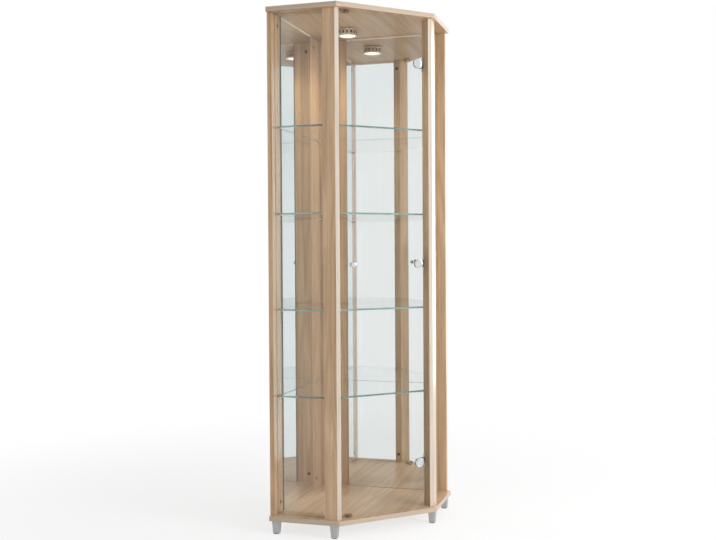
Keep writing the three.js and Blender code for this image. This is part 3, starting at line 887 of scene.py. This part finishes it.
def rounded_bar(name, low, high, ease, material):
    """A bar between two corners whose long edges are eased: an octagon carried along X and closed at
    both ends."""
    (x0, y0, z0), (x1, y1, z1) = low, high
    profile = np.array([(y0 + ease, z0), (y1 - ease, z0), (y1, z0 + ease), (y1, z1 - ease), (y1 - ease, z1),
                        (y0 + ease, z1), (y0, z1 - ease), (y0, z0 + ease)])
    centre = profile.mean(axis=0)
    end_ring = centre + (profile - centre) * 0.9
    rows = [(x0, centre + 0 * profile), (x0, end_ring), (x0 + ease, profile), (x1 - ease, profile),
            (x1, end_ring), (x1, centre + 0 * profile)]
    points = np.concatenate([np.column_stack([np.full(len(ring), x), ring]) for x, ring in rows])
    return mesh_piece(name, points, grid_quads(len(rows), len(profile)), material, 30)


catch_finish = moulded_material("catch_moulding", 2600.0, catch_tan, 0.42, 0.58, (0.2, 0.0001))
pole_steel = plated_material("pole_steel", (0.34, 0.30, 0.24, 1), 0.26, 0.40, 400.0)
bronzed = plated_material("bronzed_steel", (0.30, 0.24, 0.165, 1), 0.30, 0.42, 300.0)
for end, way in (("bottom", 1), ("top", -1)):
    eased_copy(f"catch_{end}", f"magnet_catch_{end}", catch_arris, "cabinet",
               [catch_finish])
    eased_copy(f"strike_{end}", f"strike_plate_{end}", strike_arris, "door", [bronzed])
    low, high = box_of(f"catch_{end}")
    middle = (low + high) / 2
    seat = low[2] if way == 1 else high[2]
    for number, rise in enumerate(pole_rises, 1):
        z = sorted((seat + way * rise, seat + way * (rise + pole_thick)))
        pole_low = (middle[0] - pole_half, low[1] + pole_clear, z[0] + pole_inset)
        pole_high = (middle[0] + pole_half, low[1] + pole_deep, z[1] - pole_inset)
        pole = rounded_bar(f"pole_{end}_{number}", pole_low, pole_high, pole_ease, pole_steel)
        own_piece(pole, "cabinet")
    for label, x in (("a", low[0] + catch_screw_in), ("b", high[0] - catch_screw_in)):
        place = (x, (low[1] + tab_deep + high[1]) / 2, seat + way * tab_thick)
        screw = cross_head(f"catch_screw_{end}_{label}", place, "+z" if way == 1 else "-z",
                           catch_screw_radius, catch_screw_high, bronzed)
        own_piece(screw, "cabinet")


# Spotlight
# A round puck under the top board: a chromed housing with cooling slots, a ring, and a frosted lens
# lit warm white. The light board sits inside.
light_low, light_high = box_of("spotlight_body")
ring_low = box_of("spotlight_ring")[0][2]
light_x, light_y = (light_low[0] + light_high[0]) / 2, (light_low[1] + light_high[1]) / 2
housing_clear, fit_gap = 0.0002, 0.0003
light_radius = (light_high[0] - light_low[0]) / 2 - housing_clear
light_tall = light_high[2] - ring_low
ring_tall, ring_wide, ring_ease = 0.003, 0.006, 0.0012
ring_back = ring_tall - fit_gap
housing_wall, housing_roof = 0.0018, 0.002
inner = light_radius - housing_wall
shoulder = 0.004
slots, slot_deep = 15, 0.0012
slot_low, slot_high = ring_tall + 0.004, light_tall - 0.006
slot_slope, slot_skin = 0.0015, 0.0001
slot_from, slot_blend = 0.35, 0.25
lens_radius = inner - fit_gap
lens_thick = 0.0025
lens_glow = 1.1
lens_middle, lens_rim = (1.0, 0.95, 0.84, 1), (0.98, 0.84, 0.62, 1)
lens_bright_radius = 0.008
board_arris = 0.0001
glow_below = 0.004
spot_place = np.array((light_x, light_y, ring_low))


def slotted_housing(name, material, dark, around=288):
    """A cup of revolution whose side sinks by the slot depth where the cosine of slots times the angle is
    high, between the two slot heights. The faces at the bottom of the slots get the dark material, a
    painted shade inside the slots."""
    side = np.linspace(ring_tall, light_tall - shoulder, 14)
    roof = light_tall - housing_roof
    profile = [(0, roof), (inner, roof), (inner, ring_tall)] + [(light_radius, z) for z in side]
    profile += arc((light_radius - shoulder, light_tall - shoulder), (shoulder, shoulder), 8, 90, 8)
    profile = np.array(profile + [(0, light_tall)])
    angle = np.linspace(0, 2 * math.pi, around, endpoint=False)
    r, h = profile[:, 0][:, None] + 0 * angle, profile[:, 1][:, None] + 0 * angle
    band = np.clip((h - slot_low) / slot_slope, 0, 1) * np.clip((slot_high - h) / slot_slope, 0, 1)
    slot = np.clip((np.cos(slots * angle)[None, :] - slot_from) / slot_blend, 0, 1)
    r = r - slot_deep * band * slot * (r > inner + housing_wall / 2)
    points = np.stack([r * np.cos(angle), r * np.sin(angle), h], axis=-1) + spot_place
    piece = mesh_piece(name, points.reshape(-1, 3), grid_quads(len(profile), around), material, 35)
    faces = piece.data.polygons
    centres = np.empty(3 * len(faces))
    faces.foreach_get("center", centres)
    x, y, z = (centres.reshape(-1, 3) - spot_place).T
    reach = np.hypot(x, y)
    sunk = (reach > inner + slot_skin) & (reach < light_radius - slot_deep / 2)
    piece.data.materials.append(dark)
    faces.foreach_set("material_index", (sunk & (z > slot_low) & (z < slot_high)).astype(np.int32))
    return piece


# The bottoms of the slots are painted near black, a painted shade.
painted_slot_shade = plated_material("painted_slot_shade", (0.10, 0.085, 0.07, 1), 0.35, 0.50, 300.0)
satin_chrome = plated_material("satin_chrome_plating", (0.80, 0.77, 0.71, 1), 0.12, 0.20)
housing = slotted_housing("spot_housing", satin_chrome, painted_slot_shade)
own_piece(housing, "cabinet", ["spotlight_body"])
opening = light_radius - ring_wide
profile = arc((light_radius - ring_ease, ring_ease), (ring_ease, ring_ease), 0, -90, 7)
profile += arc((opening + ring_ease, ring_ease), (ring_ease, ring_ease), -90, -180, 7)
profile += [(opening, ring_back), (light_radius, ring_back), (light_radius, ring_ease)]
ring = revolved("spot_ring", profile, spot_place, "+z", satin_chrome, 96)
own_piece(ring, "cabinet", ["spotlight_ring"])

lens_finish, tree, shader = new_material("frosted_lens", Base_Color=(0.50, 0.48, 0.44, 1), Roughness=0.45,
                                         Emission_Strength=lens_glow)
centred = add_node(tree, "Mapping", Vector=object_place(tree), Location=(-light_x, -light_y, 0))
flat = add_node(tree, "VectorMath", i0=centred.outputs[0], i1=(1, 1, 0))
flat.operation = "MULTIPLY"
reach = add_node(tree, "VectorMath", i0=flat.outputs[0])
reach.operation = "LENGTH"
fall = add_range(tree, reach.outputs["Value"], (lens_bright_radius, inner))
warm = mix_colours(tree, fall, lens_middle, lens_rim)
set_inputs(tree, shader, Emission_Color=warm)
profile = [(0, ring_tall), (lens_radius, ring_tall), (lens_radius, ring_tall + lens_thick),
           (0, ring_tall + lens_thick)]
lens = revolved("spot_lens", profile, spot_place, "+z", lens_finish)
own_piece(lens, "cabinet", ["spotlight_lens"])
eased_copy("spotlight_board", "spot_light_board", board_arris, "cabinet", [catch_finish])

glow_data = bpy.data.lights.new("spot_glow", "SPOT")
glow_data.energy = 3.5
glow_data.color = (1.0, 0.92, 0.80)
glow_data.spot_size = math.radians(150)
glow_data.spot_blend = 0.9
glow_data.shadow_soft_size = 0.022
glow = bpy.data.objects.new("spot_glow", glow_data)
glow.location = (light_x, light_y, ring_low - glow_below)
glow.visible_glossy = False
glow.visible_transmission = False
glow.visible_camera = False
scene.collection.objects.link(glow)


# Feet
# Square tapered feet in silver lacquer, turned to the walls, with softly rounded corners and a near-black
# piece let into the bottom.
silver = ((0.36, 0.36, 0.37, 1), (0.48, 0.475, 0.48, 1))
near_black_sole_tones = ((0.035, 0.035, 0.035, 1), (0.06, 0.06, 0.06, 1))
foot_top_half, foot_bottom_half = 0.0135, 0.0105
foot_rim = ((0.0, 0.0010), (0.0004, 0.0003))
foot_rim_high, foot_clear = 0.0012, 0.0003
sole_tall, sole_ease = 0.0022, 0.0005
sole_half, sole_face_half = foot_bottom_half - 0.0014, foot_bottom_half - 0.0022


def square_loft(name, x, y, levels, material, around=96, corner=9.0):
    """Rounded squares stacked up, given as (height, half width). At angle a, a square's radius is the
    half width over the corner-th root of |cos a|^corner + |sin a|^corner. The stack is turned by 45
    degrees and closed at both ends."""
    angle = np.linspace(0, 2 * math.pi, around, endpoint=False)
    shape = 1 / (np.abs(np.cos(angle)) ** corner + np.abs(np.sin(angle)) ** corner) ** (1 / corner)
    levels = np.array([(levels[0][0], 0.0)] + list(levels) + [(levels[-1][0], 0.0)])
    r = levels[:, 1][:, None] * shape
    points = np.stack([x + r * np.cos(angle + math.pi / 4), y + r * np.sin(angle + math.pi / 4),
                       levels[:, 0][:, None] + 0 * angle], axis=-1).reshape(-1, 3)
    return mesh_piece(name, points, grid_quads(len(levels), around), material, 30)


foot_finish = moulded_material("silver_lacquer", 3200.0, silver, 0.26, 0.42, (0.12, 0.0001), Metallic=0.6)
near_black_sole_finish = moulded_material("glide_plastic", 1800.0, near_black_sole_tones, 0.5, 0.7)
for spot in ("corner", "left_side", "right_side", "left_front", "right_front"):
    low, high = box_of(f"foot_{spot}")
    x, y = (low[0] + high[0]) / 2, (low[1] + high[1]) / 2
    taper = (foot_top_half - foot_bottom_half) / high[2]
    rises = np.linspace(sole_tall + foot_rim_high, high[2] - foot_clear, 7)
    levels = [(sole_tall + rise, foot_bottom_half - back) for rise, back in foot_rim]
    levels += [(z, foot_bottom_half + taper * z) for z in rises]
    foot = square_loft(f"tapered_foot_{spot}", x, y, levels, foot_finish)
    own_piece(foot, "cabinet", [f"foot_{spot}"])
    levels = [(0.0, sole_face_half), (sole_ease, sole_half), (sole_tall, sole_half)]
    own_piece(square_loft(f"glide_{spot}", x, y, levels, near_black_sole_finish), "cabinet")
